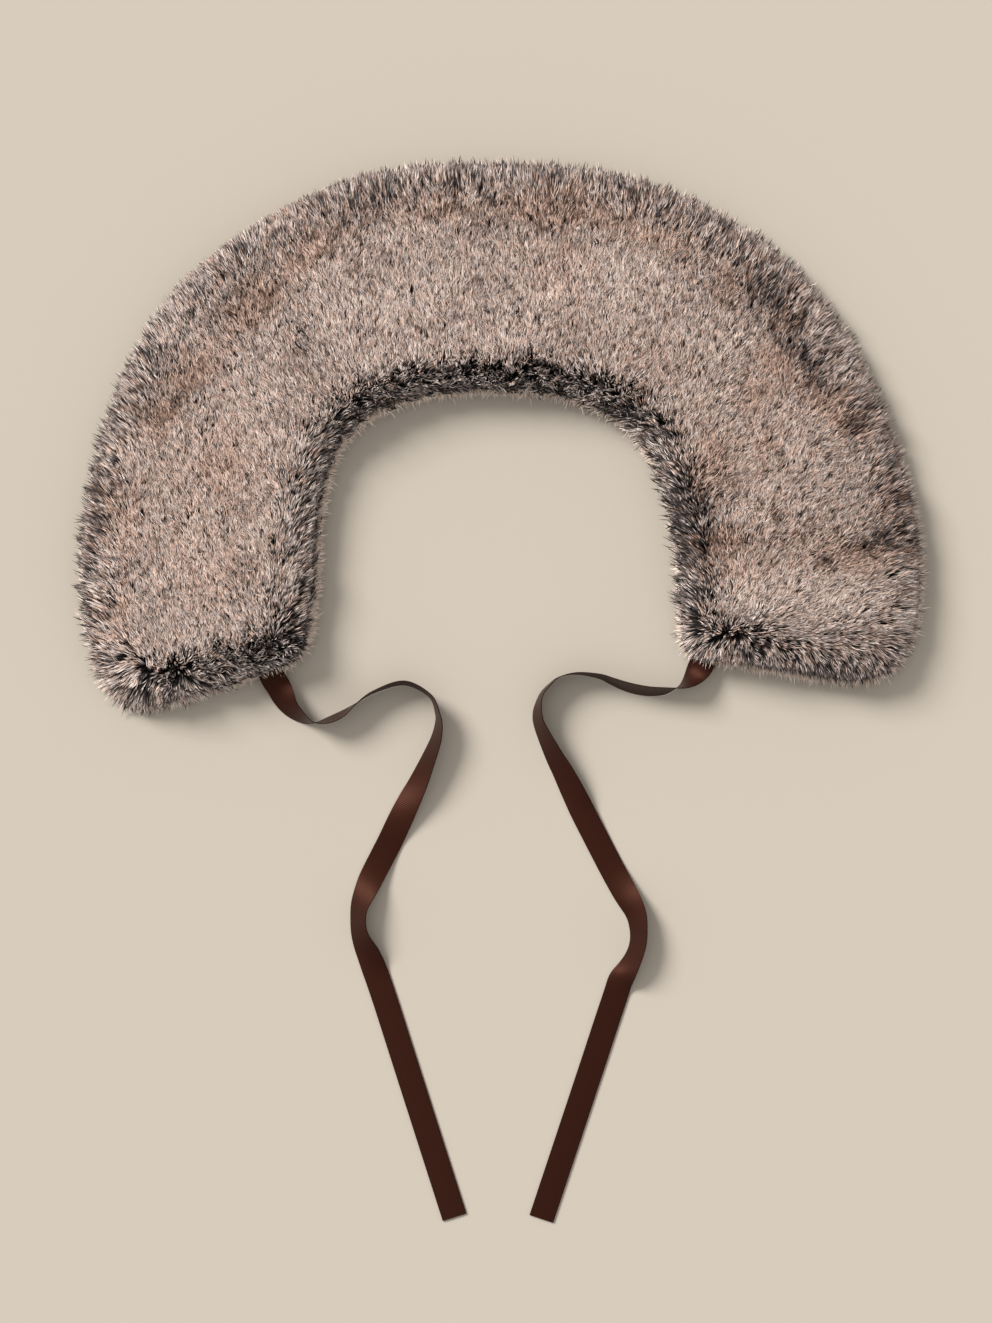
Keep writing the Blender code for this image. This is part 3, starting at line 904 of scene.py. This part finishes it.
def make_tie(name, node, route):
    """A ribbon: a closed strip with a slight crown, swept along its route."""
    centre, across, up, along = tie_frames(route)
    steps = np.linspace(-1, 1, TIE_COLUMNS)
    crown = TIE_CROWN * (1 - steps**2)
    rows = centre[:, None] + across[:, None] * (steps * TIE_WIDTH / 2)[None, :, None]
    faces = [rows + up[:, None] * (crown + turn * TIE_WALL / 2)[None, :, None] for turn in (1, -1)]
    ring = np.concatenate([faces[0], faces[1][:, ::-1]], axis=1)
    sections, wide = ring.shape[:2]
    index = np.arange(sections * wide).reshape(sections, wide)
    quads = [
        (index[i, j], index[i, (j + 1) % wide], index[i + 1, (j + 1) % wide], index[i + 1, j])
        for i in range(sections - 1) for j in range(wide)
    ]
    half = wide // 2
    caps = [
        (index[i, j], index[i, j + 1], index[i, wide - 2 - j], index[i, wide - 1 - j])
        for i in (0, sections - 1) for j in range(half - 1)
    ]
    mesh = bpy.data.meshes.new(name)
    mesh.from_pydata((ring.reshape(-1, 3) * MM).tolist(), [], [tuple(map(int, q)) for q in quads + caps])
    layer = mesh.uv_layers.new(name="Ribbon")
    sideways = np.concatenate([(steps + 1) / 2, (steps[::-1] + 1) / 2])
    for loop in mesh.loops:
        i, j = divmod(loop.vertex_index, wide)
        layer.data[loop.index].uv = (sideways[j], along[i] / RIBBON_UV_LENGTH)
    mesh.materials.append(GROSGRAIN)
    tie = placed(name, mesh)
    bm = bmesh.new()
    bm.from_mesh(mesh)
    bmesh.ops.recalc_face_normals(bm, faces=bm.faces)
    bm.to_mesh(mesh)
    bm.free()
    mesh.shade_smooth()
    mesh.set_sharp_from_angle(angle=math.radians(40))
    finish_piece(tie, "ribbon", node)


GROSGRAIN = ribbon_material()
make_tie("ribbon_left", "tie_left", TIE_LEFT)
make_tie("ribbon_right", "tie_right", TIE_RIGHT)
TOP_PIECES = grow_top()
UNDER_PIECES = grow_under()
KNIT = knit_material()
make_backing("under_backing", "under_panel", UNDER_BACKING_BASE)
make_backing("top_backing", "top_panel", TOP_BACKING_BASE)


def make_camera():
    """Straight overhead, at the height where the photograph's scale holds just above the floor."""
    height = PHOTO_HEIGHT * PIXEL_MM * MM * CAMERA_LENS / CAMERA_SENSOR
    data = bpy.data.cameras.new("camera")
    data.lens = CAMERA_LENS
    data.sensor_width = CAMERA_SENSOR
    camera = placed("camera", data)
    middle = pixels([PHOTO_MIDDLE])[0]
    camera.location = (middle[0] * MM, middle[1] * MM, height + CAMERA_LIFT)
    bpy.context.scene.camera = camera


def make_floor():
    mesh = bpy.data.meshes.new("floor")
    corners = [
        (x * FLOOR_HALF, y * FLOOR_HALF, FLOOR_LEVEL) for x, y in ((-1, -1), (1, -1), (1, 1), (-1, 1))
    ]
    mesh.from_pydata(corners, [], [(0, 1, 2, 3)])
    floor = placed("floor", mesh)
    material, _, shader = principled("canvas", 0.9, 0.2)
    shader.inputs["Base Color"].default_value = srgb(178, 169, 157)
    mesh.materials.append(material)


def make_lights():
    world = bpy.data.worlds.new("studio")
    bpy.context.scene.world = world
    world.use_nodes = True
    sky = world.node_tree.nodes["Background"]
    sky.inputs["Color"].default_value = (*LIGHT_COLOUR, 1.0)
    sky.inputs["Strength"].default_value = SKY_STRENGTH
    data = bpy.data.lights.new("key", "SUN")
    data.angle = math.radians(KEY_WIDTH)
    data.energy = KEY_STRENGTH
    data.color = LIGHT_COLOUR
    key = placed("key", data)
    key.location = KEY_PLACE
    key.rotation_euler = (-key.location).to_track_quat("-Z", "Y").to_euler()


make_camera()
make_floor()
make_lights()
bpy.context.scene.view_settings.view_transform = "Standard"
